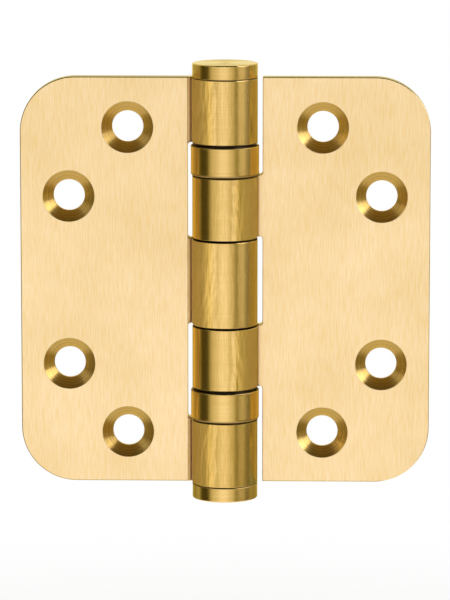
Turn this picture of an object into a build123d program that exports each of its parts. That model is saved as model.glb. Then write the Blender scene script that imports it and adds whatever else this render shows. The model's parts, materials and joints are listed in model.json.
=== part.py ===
# Ball bearing butt hinge with round corners, open flat.
#
# Two leaves of rolled sheet share one upright pin: the left leaf has three knuckles and the right leaf two.
# A small thrust ball bearing sits between each end knuckle and the right leaf's knuckle next to it, and a
# button tip closes each end of the barrel.
# Millimetres. The pin's axis is Z, and the origin is on it at mid height. The leaves lie in the XZ plane,
# with their countersunk faces towards -Y, where the barrel stands proud.

import os
from math import asin, atan2, cos, degrees, radians, sin, sqrt

from build123d import *

# Leaves
leaf_height = 89.0
leaf_reach = 44.5  # from the pin's axis to the leaf's outer edge
leaf_thickness = 3.0
corner_radius = 12.0
face_setback = 0.8  # from the pin's axis back to the leaf's face: half the gap between the closed leaves
bend_radius = 4.2  # inside radius where the sheet leaves the flat and runs into the knuckle
seam_gap = 0.3  # from the rolled end of the knuckle to the leaf's face
edge_rounding = 0.2

# Barrel
end_knuckle_length = 14.2
middle_knuckle_length = 18.8
knuckle_clearance = 0.3  # between the middle knuckle and its neighbours
notch_clearance = 0.73  # from the widest part of the barrel to the edge of a notch
notch_corner_radius = 0.5

# Screw holes, in two columns on each leaf
hole_diameter = 6.8
countersink_diameter = 11.2
countersink_angle = 90
inner_hole_x = 21.2
inner_hole_z = 33.55
outer_hole_x = 34.0
outer_hole_z = 18.45

# Pin
pin_diameter = 8.0
pin_clearance = 0.1  # radial, in the knuckles
pin_end_chamfer = 0.6
pin_end_gap = 0.3  # from the pin's end to the tip's spigot
spline_count = 24
spline_length = 5.0
spline_depth = 0.25

# Tips
tip_height = 3.2
tip_spigot_length = 4.0
tip_spigot_chamfer = 0.4
tip_edge_radius = 0.25

# Bearings
bearing_diameter = 14.8
bearing_height = 7.0
shell_wall = 0.7
shell_floor = 1.0
shell_floor_clearance = 0.5  # radial, from the floor's bore to the pin
shell_edge_radius = 0.6
shell_lip_radius = 0.2
race_stand_out = 0.4  # of the top race above the shell's rim
race_clearance = 0.1  # radial, from the races to the shell and to the pin
race_chamfer = 0.2
ball_count = 12
ball_diameter = 1.8
groove_clearance = 0.03  # radius of the groove over the radius of the ball
groove_depth = 0.4
cage_thickness = 0.7
cage_clearance = 0.2  # radial, from the cage to the shell and to the pin
pocket_clearance = 0.05

# Worked out
pin_radius = pin_diameter / 2
bore_radius = pin_radius + pin_clearance
barrel_radius = bore_radius + leaf_thickness
bearing_radius = bearing_diameter / 2
notch_reach = max(barrel_radius, bearing_radius) + notch_clearance
top_z = leaf_height / 2
middle_z = middle_knuckle_length / 2
bearing_outer_z = top_z - end_knuckle_length
bearing_inner_z = bearing_outer_z - bearing_height
pin_end_z = top_z - tip_spigot_length - pin_end_gap
spline_z = (pin_end_z + bearing_outer_z) / 2
shell_height = bearing_height - race_stand_out
shell_inner_radius = bearing_radius - shell_wall
race_bore_radius = pin_radius + race_clearance
race_outer_radius = shell_inner_radius - race_clearance
pitch_radius = (race_bore_radius + race_outer_radius) / 2
ball_radius = ball_diameter / 2
race_gap = ball_diameter - 2 * groove_depth
race_height = (bearing_height - shell_floor - race_gap) / 2
ball_height = shell_floor + race_height + race_gap / 2  # of the balls' centres above the bearing's seat

os.makedirs("parts", exist_ok=True)


def write(piece, name):
    """Names a finished piece and writes it to its own file."""
    piece.part.label = name
    export_step(piece.part, f"parts/{name}.step")


def draw_sheet_section(side):
    """Draws the sheet's cross-section: the flat, the bend, and the roll round the pin.

    side is -1 for a leaf that reaches to the left and 1 for one that reaches to the right.
    The bend's centre lies behind the sheet, where the bend runs tangent into both the flat and the roll.
    """
    back_y = face_setback + leaf_thickness
    centre_y = back_y + bend_radius
    centre_x = sqrt((barrel_radius + bend_radius) ** 2 - centre_y**2)
    join = degrees(atan2(centre_y, centre_x))
    roll_end = 360 + degrees(asin((face_setback - seam_gap) / barrel_radius))
    roll_middle = (join + roll_end) / 2
    bend_middle = (join - 180 - 90) / 2

    def roll_point(radius, angle):
        return (side * radius * cos(radians(angle)), radius * sin(radians(angle)))

    def bend_point(radius, angle):
        return (
            side * (centre_x + radius * cos(radians(angle))),
            centre_y + radius * sin(radians(angle)),
        )

    face_bend_radius = bend_radius + leaf_thickness
    Line((side * leaf_reach, face_setback), (side * centre_x, face_setback))
    ThreePointArc(
        (side * centre_x, face_setback),
        bend_point(face_bend_radius, bend_middle),
        roll_point(bore_radius, join),
    )
    ThreePointArc(
        roll_point(bore_radius, join),
        roll_point(bore_radius, roll_middle),
        roll_point(bore_radius, roll_end),
    )
    Line(roll_point(bore_radius, roll_end), roll_point(barrel_radius, roll_end))
    ThreePointArc(
        roll_point(barrel_radius, roll_end),
        roll_point(barrel_radius, roll_middle),
        roll_point(barrel_radius, join),
    )
    ThreePointArc(
        roll_point(barrel_radius, join),
        bend_point(bend_radius, bend_middle),
        (side * centre_x, back_y),
    )
    Line((side * centre_x, back_y), (side * leaf_reach, back_y))
    Line((side * leaf_reach, back_y), (side * leaf_reach, face_setback))


def drill_screw_holes(side):
    """Drills and countersinks the four screw holes from the leaf's face."""
    with Locations(Plane.XZ.offset(-face_setback)):
        with Locations(
            (side * inner_hole_x, inner_hole_z),
            (side * outer_hole_x, outer_hole_z),
            (side * outer_hole_x, -outer_hole_z),
            (side * inner_hole_x, -inner_hole_z),
        ):
            CounterSinkHole(
                hole_diameter / 2,
                countersink_diameter / 2,
                depth=leaf_thickness,
                counter_sink_angle=countersink_angle,
            )


def make_leaf(side, notch_spans):
    """One leaf with its knuckles, notched, drilled and rolled from one sheet.

    notch_spans holds the lowest and highest Z of each notch that leaves room for the other leaf's knuckles
    and the bearings.
    """
    outermost = 0 if side < 0 else -1
    past_barrel = barrel_radius + notch_clearance
    with BuildPart() as leaf:
        with BuildSketch(Plane.XY.offset(-top_z)):
            with BuildLine():
                draw_sheet_section(side)
            make_face()
        extrude(amount=leaf_height)
        fillet(leaf.edges().filter_by(Axis.Y).group_by(Axis.X)[outermost], corner_radius)
        with BuildSketch(Plane.XZ):
            for low, high in notch_spans:
                with Locations((side * (notch_reach - past_barrel) / 2, (low + high) / 2)):
                    Rectangle(notch_reach + past_barrel, high - low)
            fillet(vertices(), notch_corner_radius)
        extrude(amount=2 * barrel_radius, both=True, mode=Mode.SUBTRACT)
        flats = leaf.faces().filter_by(Plane.XZ).sort_by(SortBy.AREA)[-2:]
        rims = ShapeList(edge for flat in flats for edge in flat.outer_wire().edges())
        roll_ends = (
            leaf.edges()
            .filter_by(GeomType.CIRCLE)
            .filter_by(lambda edge: abs(edge.radius - barrel_radius) < 1e-3)
        )
        fillet(rims + roll_ends, edge_rounding)
        drill_screw_holes(side)
    return leaf


# The left leaf has the end knuckles and the middle one, and the right leaf the two between them
left_leaf = make_leaf(-1, [(middle_z, bearing_outer_z), (-bearing_outer_z, -middle_z)])
write(left_leaf, "left_leaf")

clear_of_middle = middle_z + knuckle_clearance
past_end = top_z + end_knuckle_length
right_leaf = make_leaf(
    1,
    [(bearing_inner_z, past_end), (-clear_of_middle, clear_of_middle), (-past_end, -bearing_inner_z)],
)
write(right_leaf, "right_leaf")

# The pin is held by a splined band in each end knuckle
with BuildPart() as hinge_pin:
    with BuildSketch(Plane.XY.offset(-pin_end_z)):
        Circle(pin_radius)
    extrude(amount=2 * pin_end_z)
    chamfer(hinge_pin.edges().filter_by(GeomType.CIRCLE), pin_end_chamfer)
    for band_z in (spline_z, -spline_z):
        with BuildSketch(Plane.XY.offset(band_z - spline_length / 2)):
            Circle(bore_radius)
        extrude(amount=spline_length)
        with BuildSketch(Plane.XY.offset(band_z - spline_length / 2)):
            with PolarLocations(bore_radius, spline_count):
                with BuildLine():
                    Polyline((-spline_depth, 0), (spline_depth, spline_depth), (spline_depth, -spline_depth), close=True)
                make_face()
        extrude(amount=spline_length, mode=Mode.SUBTRACT)
write(hinge_pin, "hinge_pin")


def make_tip(up):
    """A button that closes one end of the barrel, its spigot pressed into the knuckle's bore.

    up is 1 for the tip at the top and -1 for the one at the bottom.
    """
    with BuildPart() as tip:
        with BuildSketch(Plane.XY.offset(up * top_z)):
            Circle(barrel_radius)
        extrude(amount=up * tip_height)
        fillet(tip.edges().filter_by(GeomType.CIRCLE), tip_edge_radius)
        with BuildSketch(Plane.XY.offset(up * top_z)):
            Circle(bore_radius)
        extrude(amount=-up * tip_spigot_length)
        spigot_rims = tip.edges().filter_by(GeomType.CIRCLE).sort_by(Axis.Z)
        chamfer(spigot_rims[0] if up > 0 else spigot_rims[-1], tip_spigot_chamfer)
    return tip


top_tip = make_tip(1)
write(top_tip, "top_tip")

bottom_tip = make_tip(-1)
write(bottom_tip, "bottom_tip")


def make_shell(seat_z):
    """The bearing's brass cup, which holds both races and the balls and stands on the knuckle below."""
    with BuildPart() as shell:
        with BuildSketch(Plane.XY.offset(seat_z)):
            Circle(bearing_radius)
        extrude(amount=shell_height)
        rims = shell.edges().filter_by(GeomType.CIRCLE).sort_by(Axis.Z)
        fillet(rims[0], shell_edge_radius)
        fillet(shell.edges().filter_by(GeomType.CIRCLE).sort_by(Axis.Z)[-1], shell_lip_radius)
        with BuildSketch(Plane.XY.offset(seat_z + shell_floor)):
            Circle(shell_inner_radius)
        extrude(amount=shell_height, mode=Mode.SUBTRACT)
        with BuildSketch(Plane.XY.offset(seat_z)):
            Circle(pin_radius + shell_floor_clearance)
        extrude(amount=shell_floor, mode=Mode.SUBTRACT)
    return shell


def make_race(low_z, ball_z):
    """A hardened ring with a groove for the balls in its upper or its lower face."""
    with BuildPart() as race:
        with BuildSketch(Plane.XY.offset(low_z)):
            Circle(race_outer_radius)
            Circle(race_bore_radius, mode=Mode.SUBTRACT)
        extrude(amount=race_height)
        chamfer(race.edges().filter_by(GeomType.CIRCLE), race_chamfer)
        with Locations((0, 0, ball_z)):
            Torus(pitch_radius, ball_radius + groove_clearance, mode=Mode.SUBTRACT)
    return race


def make_cage(ball_z):
    """The ring that keeps the balls apart, with one round pocket for each."""
    with BuildPart() as cage:
        with BuildSketch(Plane.XY.offset(ball_z - cage_thickness / 2)):
            Circle(shell_inner_radius - cage_clearance)
            Circle(pin_radius + cage_clearance, mode=Mode.SUBTRACT)
            with PolarLocations(pitch_radius, ball_count):
                Circle(ball_radius + pocket_clearance, mode=Mode.SUBTRACT)
        extrude(amount=cage_thickness)
    return cage


# Each bearing stands with its cup open upwards, and its top race carries the knuckle above
for bearing_name, seat_z in (("upper_bearing", bearing_inner_z), ("lower_bearing", -bearing_outer_z)):
    ball_z = seat_z + ball_height

    bearing_shell = make_shell(seat_z)
    write(bearing_shell, f"{bearing_name}_shell")

    bottom_race = make_race(seat_z + shell_floor, ball_z)
    write(bottom_race, f"{bearing_name}_bottom_race")

    top_race = make_race(seat_z + bearing_height - race_height, ball_z)
    write(top_race, f"{bearing_name}_top_race")

    cage = make_cage(ball_z)
    write(cage, f"{bearing_name}_cage")

    for number in range(ball_count):
        turn = radians(360 * number / ball_count)
        with BuildPart() as ball:
            with Locations((pitch_radius * cos(turn), pitch_radius * sin(turn), ball_z)):
                Sphere(ball_radius)
        write(ball, f"{bearing_name}_ball_{number + 1:02d}")
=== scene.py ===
"""Looks of an open butt hinge with two ball bearings, in satin brass.

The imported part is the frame. Its rolled leaves, tips and bearing cups are modelled again here with finer edges, and
its pin, races, cages and balls are shown as they are. Lengths are in millimetres unless a docstring says otherwise,
and each piece is shaped at one unit to the millimetre on the bench and then brought to metres.
"""

import json
import logging
import math
from dataclasses import dataclass, field, replace
from enum import Enum
from typing import Callable

import bmesh
import bpy
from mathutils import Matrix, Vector

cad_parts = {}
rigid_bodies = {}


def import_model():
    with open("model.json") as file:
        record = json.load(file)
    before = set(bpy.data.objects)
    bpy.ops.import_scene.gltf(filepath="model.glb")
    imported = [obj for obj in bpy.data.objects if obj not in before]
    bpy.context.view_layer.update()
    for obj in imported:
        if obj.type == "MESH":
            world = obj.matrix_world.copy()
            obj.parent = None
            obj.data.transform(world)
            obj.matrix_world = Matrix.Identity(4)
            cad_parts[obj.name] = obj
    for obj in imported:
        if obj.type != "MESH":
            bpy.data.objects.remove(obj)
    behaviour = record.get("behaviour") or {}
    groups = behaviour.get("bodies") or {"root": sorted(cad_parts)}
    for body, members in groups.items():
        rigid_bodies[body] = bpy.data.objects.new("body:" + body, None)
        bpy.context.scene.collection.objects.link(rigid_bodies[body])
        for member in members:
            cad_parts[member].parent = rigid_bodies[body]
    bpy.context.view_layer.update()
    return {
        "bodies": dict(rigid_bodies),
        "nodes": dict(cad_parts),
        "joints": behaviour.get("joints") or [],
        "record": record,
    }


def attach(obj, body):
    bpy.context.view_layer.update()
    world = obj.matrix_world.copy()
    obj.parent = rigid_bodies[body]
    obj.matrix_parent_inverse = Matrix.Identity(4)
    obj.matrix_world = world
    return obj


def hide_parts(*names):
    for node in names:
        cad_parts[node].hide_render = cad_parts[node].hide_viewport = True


log = logging.getLogger("hinge")

Point = tuple[float, float, float]
Colour = tuple[float, float, float]
Opaque = tuple[float, float, float, float]
Span = tuple[float, float]
Socket = bpy.types.NodeSocket

MILLIMETRE = 0.001
DEGREE = math.radians(1)
UP = (0.0, 0.0, 1.0)
BACKWARDS = (0.0, 1.0, 0.0)

# For picking parts of a mesh: how near two places count as one, and how far a normal reaches along its axis
NEAR = 0.01
TOUCHING = 0.001
FACING = 0.99

# Each leaf's screw holes, by how far they are from the pin's axis and above or below the middle height
SCREW_HOLES = ((21.2, 33.55), (34.0, 18.45))

# How far above and below the middle height the barrel's pieces meet. The tips fit closer than the rest, so the
# painted shade in their seam is narrower
JOINT_HEIGHTS = (9.55, 23.3, 30.3, 44.5)
TIP_JOINT = JOINT_HEIGHTS[-1]
TIP_JOINT_TIGHTNESS = 3.0
BARREL_RADIUS = 7.1

# What lies in the sheet's thickness ends before its back face, between these two depths along Y
BACK_FADE = (3.60, 3.72)


def opaque(colour: Colour) -> Opaque:
    """Gives a colour its fourth value."""
    return (*colour, 1.0)


class Grain(Enum):
    """Which way the fine lines of a finish run."""

    UPRIGHT = "upright"
    TURNED = "turned"
    NONE = "none"


class Bench:
    """The modelling bench: picks parts of a mesh by place and keeps the selection tidy.

    Points nearer than WELD become one, and edges sharper than SHARP degrees stay sharp.
    """

    DRUM_SIDES = 160
    WELD = 0.0005
    SHARP = 35.0
    FACE_WEIGHT = 100

    @staticmethod
    def clear() -> None:
        """Deselects everything, since operators act on all that is selected."""
        if bpy.context.mode != "OBJECT":
            bpy.ops.object.mode_set(mode="OBJECT")
        bpy.ops.object.select_all(action="DESELECT")

    @classmethod
    def take(cls, piece: bpy.types.Object) -> None:
        """Makes one piece the only selected and active one.

        Args:
            piece: The piece to work on.
        """
        cls.clear()
        piece.select_set(True)
        bpy.context.view_layer.objects.active = piece

    @classmethod
    def open(cls, piece: bpy.types.Object, kind: str = "FACE") -> None:
        """Opens a piece for editing with nothing selected.

        Args:
            piece: The piece to edit.
            kind: What is picked: VERT, EDGE or FACE.
        """
        cls.take(piece)
        bpy.ops.object.mode_set(mode="EDIT")
        bpy.ops.mesh.select_mode(type=kind)
        bpy.ops.mesh.select_all(action="DESELECT")

    @staticmethod
    def close() -> None:
        """Leaves edit mode."""
        bpy.ops.object.mode_set(mode="OBJECT")

    @staticmethod
    def pick_faces(test: Callable[[Vector, Vector], bool]) -> int:
        """Selects the faces that pass a test of their centre and normal, and no others.

        Args:
            test: Takes the centre and the normal.

        Returns:
            How many faces are selected.
        """
        bpy.ops.mesh.select_all(action="DESELECT")
        shape = bmesh.from_edit_mesh(bpy.context.edit_object.data)
        count = 0
        for face in shape.faces:
            if test(face.calc_center_median(), face.normal):
                face.select_set(True)
                count += 1
        shape.select_flush_mode()
        bmesh.update_edit_mesh(bpy.context.edit_object.data)
        return count

    @staticmethod
    def pick_edges(test: Callable[[Vector, Vector], bool]) -> int:
        """Selects the edges whose two ends pass a test, and no others.

        Args:
            test: Takes the two ends.

        Returns:
            How many edges are selected.
        """
        bpy.ops.mesh.select_all(action="DESELECT")
        shape = bmesh.from_edit_mesh(bpy.context.edit_object.data)
        count = 0
        for edge in shape.edges:
            if test(edge.verts[0].co, edge.verts[1].co):
                edge.select_set(True)
                count += 1
        shape.select_flush_mode()
        bmesh.update_edit_mesh(bpy.context.edit_object.data)
        return count

    @staticmethod
    def copy(piece: bpy.types.Object, name: str) -> bpy.types.Object:
        """Copies a piece with its mesh.

        Args:
            piece: The piece.
            name: The copy's name.

        Returns:
            The copy.
        """
        copy = piece.copy()
        copy.data = piece.data.copy()
        copy.name = copy.data.name = name
        bpy.context.collection.objects.link(copy)
        return copy

    @classmethod
    def settle(cls, piece: bpy.types.Object) -> None:
        """Puts a piece's place, turn and scale into its mesh.

        Args:
            piece: The piece to settle.
        """
        cls.take(piece)
        bpy.ops.object.transform_apply(location=True, rotation=True, scale=True)

    @classmethod
    def cube(cls, low: Point, high: Point, name: str) -> bpy.types.Object:
        """Adds a box between two corners.

        Args:
            low: The lowest corner.
            high: The highest corner.
            name: The piece's name.

        Returns:
            The new piece.
        """
        cls.clear()
        centre = [(a + b) / 2 for a, b in zip(low, high)]
        bpy.ops.mesh.primitive_cube_add(size=1, location=centre)
        piece = bpy.context.active_object
        piece.name = piece.data.name = name
        piece.scale = [b - a for a, b in zip(low, high)]
        cls.settle(piece)
        return piece

    @classmethod
    def drum(cls, radius: float, low: float, high: float, name: str) -> bpy.types.Object:
        """Adds an upright cylinder on the pin's axis.

        Args:
            radius: Its radius.
            low: The height of its lower end.
            high: The height of its upper end.
            name: The piece's name.

        Returns:
            The new piece.
        """
        cls.clear()
        bpy.ops.mesh.primitive_cylinder_add(
            vertices=cls.DRUM_SIDES, radius=radius, depth=high - low, location=(0, 0, (low + high) / 2)
        )
        piece = bpy.context.active_object
        piece.name = piece.data.name = name
        cls.settle(piece)
        return piece

    @classmethod
    def cut(cls, piece: bpy.types.Object, cutters: list[bpy.types.Object]) -> None:
        """Cuts a piece with others, which are used up.

        Args:
            piece: The piece to cut.
            cutters: The pieces to cut it with. They don't touch each other.
        """
        cls.take(cutters[0])
        for cutter in cutters:
            cutter.select_set(True)
        bpy.ops.object.join()
        cutter = bpy.context.active_object
        cls.take(piece)
        modifier = piece.modifiers.new("cut", "BOOLEAN")
        modifier.operation = "DIFFERENCE"
        modifier.solver = "EXACT"
        modifier.object = cutter
        bpy.ops.object.modifier_apply(modifier=modifier.name)
        bpy.data.objects.remove(cutter)

    @classmethod
    def round_edges(cls, piece: bpy.types.Object, width: float, steps: int, angle: float) -> None:
        """Rounds every edge of a piece that is sharper than an angle.

        Args:
            piece: The piece.
            width: How far the rounding reaches from each edge.
            steps: How many faces it has.
            angle: The least angle between two faces, in degrees.
        """
        cls.take(piece)
        modifier = piece.modifiers.new("rounding", "BEVEL")
        modifier.width = width
        modifier.segments = steps
        modifier.limit_method = "ANGLE"
        modifier.angle_limit = math.radians(angle)
        modifier.use_clamp_overlap = False
        modifier.miter_outer = "MITER_ARC"
        bpy.ops.object.modifier_apply(modifier=modifier.name)

    @classmethod
    def finish(cls, piece: bpy.types.Object) -> None:
        """Brings a finished piece from the bench's millimetres to metres and smooths its shading.

        Args:
            piece: The piece.
        """
        cls.open(piece, "VERT")
        bpy.ops.mesh.select_all(action="SELECT")
        bpy.ops.mesh.remove_doubles(threshold=cls.WELD)
        bpy.ops.mesh.normals_make_consistent(inside=False)
        cls.close()
        piece.scale = (MILLIMETRE,) * 3
        cls.settle(piece)
        bpy.ops.object.shade_smooth_by_angle(angle=math.radians(cls.SHARP))
        modifier = piece.modifiers.new("face normals", "WEIGHTED_NORMAL")
        modifier.mode = "FACE_AREA"
        modifier.weight = cls.FACE_WEIGHT
        modifier.keep_sharp = True
        bpy.ops.object.modifier_apply(modifier=modifier.name)


class Nodes:
    """A short hand for building a node tree."""

    def __init__(self, tree: bpy.types.NodeTree) -> None:
        """Starts on a tree.

        Args:
            tree: The tree to build in.
        """
        self.tree = tree

    @classmethod
    def fresh(cls, owner: bpy.types.Material | bpy.types.World) -> "Nodes":
        """Starts on a material or a world, with its first nodes taken away.

        Args:
            owner: The material or the world.

        Returns:
            The builder.
        """
        owner.use_nodes = True
        owner.node_tree.nodes.clear()
        return cls(owner.node_tree)

    def add(self, kind: str, **settings: object) -> bpy.types.Node:
        """Adds a node.

        Args:
            kind: The node's type, without the word ShaderNode.
            **settings: The node's own settings.

        Returns:
            The node.
        """
        node = self.tree.nodes.new("ShaderNode" + kind)
        for name, value in settings.items():
            setattr(node, name, value)
        return node

    def link(self, source: Socket, target: Socket) -> None:
        """Joins two sockets."""
        self.tree.links.new(source, target)

    def feed(self, socket: Socket, value: object) -> None:
        """Gives an input a value or joins it to an output.

        Args:
            socket: The input.
            value: A value, or the output of another node.
        """
        if isinstance(value, bpy.types.NodeSocket):
            self.link(value, socket)
        else:
            socket.default_value = value

    def math(self, operation: str, *values: object, clamp: bool = False) -> Socket:
        """Adds a Math node.

        Args:
            operation: What it does.
            *values: Its inputs, numbers or sockets.
            clamp: Whether the result stays between 0 and 1.

        Returns:
            Its output.
        """
        node = self.add("Math", operation=operation, use_clamp=clamp)
        for socket, value in zip(node.inputs, values):
            self.feed(socket, value)
        return node.outputs[0]

    def plus(self, first: object, second: object, clamp: bool = False) -> Socket:
        """Adds two numbers."""
        return self.math("ADD", first, second, clamp=clamp)

    def minus(self, first: object, second: object) -> Socket:
        """Takes the second number from the first."""
        return self.math("SUBTRACT", first, second)

    def times(self, first: object, *others: object) -> Socket:
        """Multiplies numbers in order.

        Args:
            first: The first number.
            *others: The others.

        Returns:
            The product.
        """
        for other in others:
            first = self.math("MULTIPLY", first, other)
        return first

    def over(self, first: object, second: object) -> Socket:
        """Divides the first number by the second."""
        return self.math("DIVIDE", first, second)

    def ramp(self, value: Socket, low: object, high: object, to_low: float, to_high: float) -> Socket:
        """Maps a range to another with a smooth step.

        Args:
            value: The input.
            low: Where the result is to_low.
            high: Where the result is to_high.
            to_low: The first result.
            to_high: The second result.

        Returns:
            The output.
        """
        node = self.add("MapRange", interpolation_type="SMOOTHSTEP")
        for socket, given in zip(node.inputs, (value, low, high, to_low, to_high)):
            self.feed(socket, given)
        return node.outputs[0]

    def rise(self, value: Socket, span: Span, unit: float = 1.0) -> Socket:
        """Gives 0 before a span, which is in the given unit, and 1 after it."""
        return self.ramp(value, span[0] * unit, span[1] * unit, 0.0, 1.0)

    def fall(self, value: Socket, span: Span, unit: float = 1.0) -> Socket:
        """Gives 1 before a span, which is in the given unit, and 0 after it."""
        return self.ramp(value, span[0] * unit, span[1] * unit, 1.0, 0.0)

    def noise(self, vector: Socket, detail: float, roughness: float) -> Socket:
        """Adds a Noise Texture at scale 1.

        Args:
            vector: Its coordinates.
            detail: Its octaves.
            roughness: How strong the finer octaves are.

        Returns:
            The value, about 0.5 on average.
        """
        node = self.add("TexNoise")
        self.feed(node.inputs["Vector"], vector)
        node.inputs["Scale"].default_value = 1.0
        node.inputs["Detail"].default_value = detail
        node.inputs["Roughness"].default_value = roughness
        return node.outputs[0]

    def mix(self, factor: object, first: object, second: object) -> Socket:
        """Mixes two colours.

        Args:
            factor: The share of the second.
            first: The first colour.
            second: The second colour.

        Returns:
            The mixed colour.
        """
        node = self.add("Mix", data_type="RGBA")
        for index, value in zip((0, 6, 7), (factor, first, second)):
            self.feed(node.inputs[index], value)
        return node.outputs[2]

    def mix_vectors(self, factor: object, first: object, second: object) -> Socket:
        """Mixes two vectors.

        Args:
            factor: The share of the second.
            first: The first vector.
            second: The second vector.

        Returns:
            The mixed vector.
        """
        node = self.add("Mix", data_type="VECTOR")
        for index, value in zip((0, 4, 5), (factor, first, second)):
            self.feed(node.inputs[index], value)
        return node.outputs[1]

    def vector(self, operation: str, *values: object, output: int = 0) -> Socket:
        """Adds a Vector Math node.

        Args:
            operation: What it does.
            *values: Its inputs, vectors or sockets.
            output: Which output is wanted: 0 for a vector, 1 for a number.

        Returns:
            That output.
        """
        node = self.add("VectorMath", operation=operation)
        for socket, value in zip(node.inputs, values):
            self.feed(socket, value)
        return node.outputs[output]

    def join(self, x: object, y: object, z: object) -> Socket:
        """Makes a vector of three numbers.

        Args:
            x: The first number.
            y: The second number.
            z: The third number.

        Returns:
            The vector.
        """
        node = self.add("CombineXYZ")
        for socket, value in zip(node.inputs, (x, y, z)):
            self.feed(socket, value)
        return node.outputs[0]

    def split(self, vector: Socket) -> tuple[Socket, ...]:
        """Takes a vector apart.

        Args:
            vector: The vector.

        Returns:
            Its three numbers.
        """
        node = self.add("SeparateXYZ")
        self.link(vector, node.inputs[0])
        return tuple(node.outputs)


@dataclass(frozen=True)
class Softbox:
    """A bright panel in the studio.

    Its azimuths are in degrees and its heights are sines of the elevation, as the walls' are. Its tint is the
    colour of its light.
    """

    level: float
    azimuth: Span
    height: Span
    tint: Colour = (1.0, 1.0, 1.0)


@dataclass(frozen=True)
class StudioRoom:
    """How bright the studio is in each direction from the hinge.

    Each wall stop is an azimuth in degrees, 0 in front of the barrel and positive to the right as the camera
    sees it, with the wall's brightness at the three wall heights. Heights are sines of the elevation. Warmth is
    the power that each channel of a brightness is raised to, so that what is darker is warmer.
    """

    walls: tuple[tuple[float, float, float, float], ...] = (
        (-180, 0.90, 0.90, 1.00),
        (-160, 0.48, 0.72, 0.95),
        (-135, 0.26, 0.48, 0.75),
        (-104, 0.46, 0.46, 0.30),
        (-92, 0.13, 0.14, 0.14),
        (-85, 0.06, 0.07, 0.10),
        (-70, 0.05, 0.07, 0.12),
        (-61, 0.08, 0.11, 0.13),
        (-56, 0.30, 0.30, 0.05),
        (-47, 0.66, 0.64, 0.05),
        (-40, 0.80, 0.74, 0.05),
        (-32, 0.91, 0.82, 0.05),
        (-24, 1.01, 0.93, 0.05),
        (-12, 1.22, 1.15, 0.05),
        (2, 1.22, 1.15, 0.05),
        (9, 1.17, 1.07, 0.05),
        (17, 1.00, 0.88, 0.05),
        (26, 0.87, 0.71, 0.05),
        (33, 0.75, 0.54, 0.05),
        (39, 0.43, 0.38, 0.05),
        (46, 0.26, 0.36, 0.05),
        (54, 0.27, 0.55, 0.05),
        (62, 0.30, 0.63, 0.05),
        (70, 0.30, 0.63, 0.05),
        (77, 0.20, 0.47, 0.05),
        (84, 0.14, 0.26, 0.12),
        (92, 0.16, 0.22, 0.12),
        (104, 0.35, 0.40, 0.25),
        (135, 0.26, 0.48, 0.75),
        (160, 0.48, 0.72, 0.95),
        (180, 0.90, 0.90, 1.00),
    )
    lower_heights: Span = (-0.216, -0.096)
    upper_heights: Span = (0.0, 0.14)
    warmth: Colour = (1.0, 1.06, 1.75)
    ceiling: float = 0.02
    ceiling_heights: Span = (0.26, 0.50)
    ground: float = 1.10
    ground_heights: Span = (-0.75, -0.45)
    softboxes: tuple[Softbox, ...] = (
        Softbox(level=4.4, azimuth=(47, 78), height=(0.13, 0.55), tint=(1.0, 1.03, 1.2)),
        Softbox(level=2.2, azimuth=(78, 94), height=(0.06, 0.62), tint=(1.0, 1.04, 1.4)),
        Softbox(level=0.7, azimuth=(-80, -32), height=(0.24, 0.62)),
        Softbox(level=0.8, azimuth=(102, 190), height=(0.30, 0.76)),
        Softbox(level=0.8, azimuth=(-190, -102), height=(0.30, 0.76)),
    )
    softbox_blur_angle: float = 2.0
    softbox_blur_height: float = 0.03

    def light(self, level: float) -> Opaque:
        """Gives a brightness its colour, with the darker ones warmer."""
        return opaque(tuple(level**power for power in self.warmth))


class Effect(Enum):
    """The effects that more than one finish or surface uses."""

    UPRIGHT_LINES = "upright_lines"
    TURNED_LINES = "turned_lines"
    PATCHES = "patches"
    SEAMS = "seams"
    STUDIO = "studio"


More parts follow.
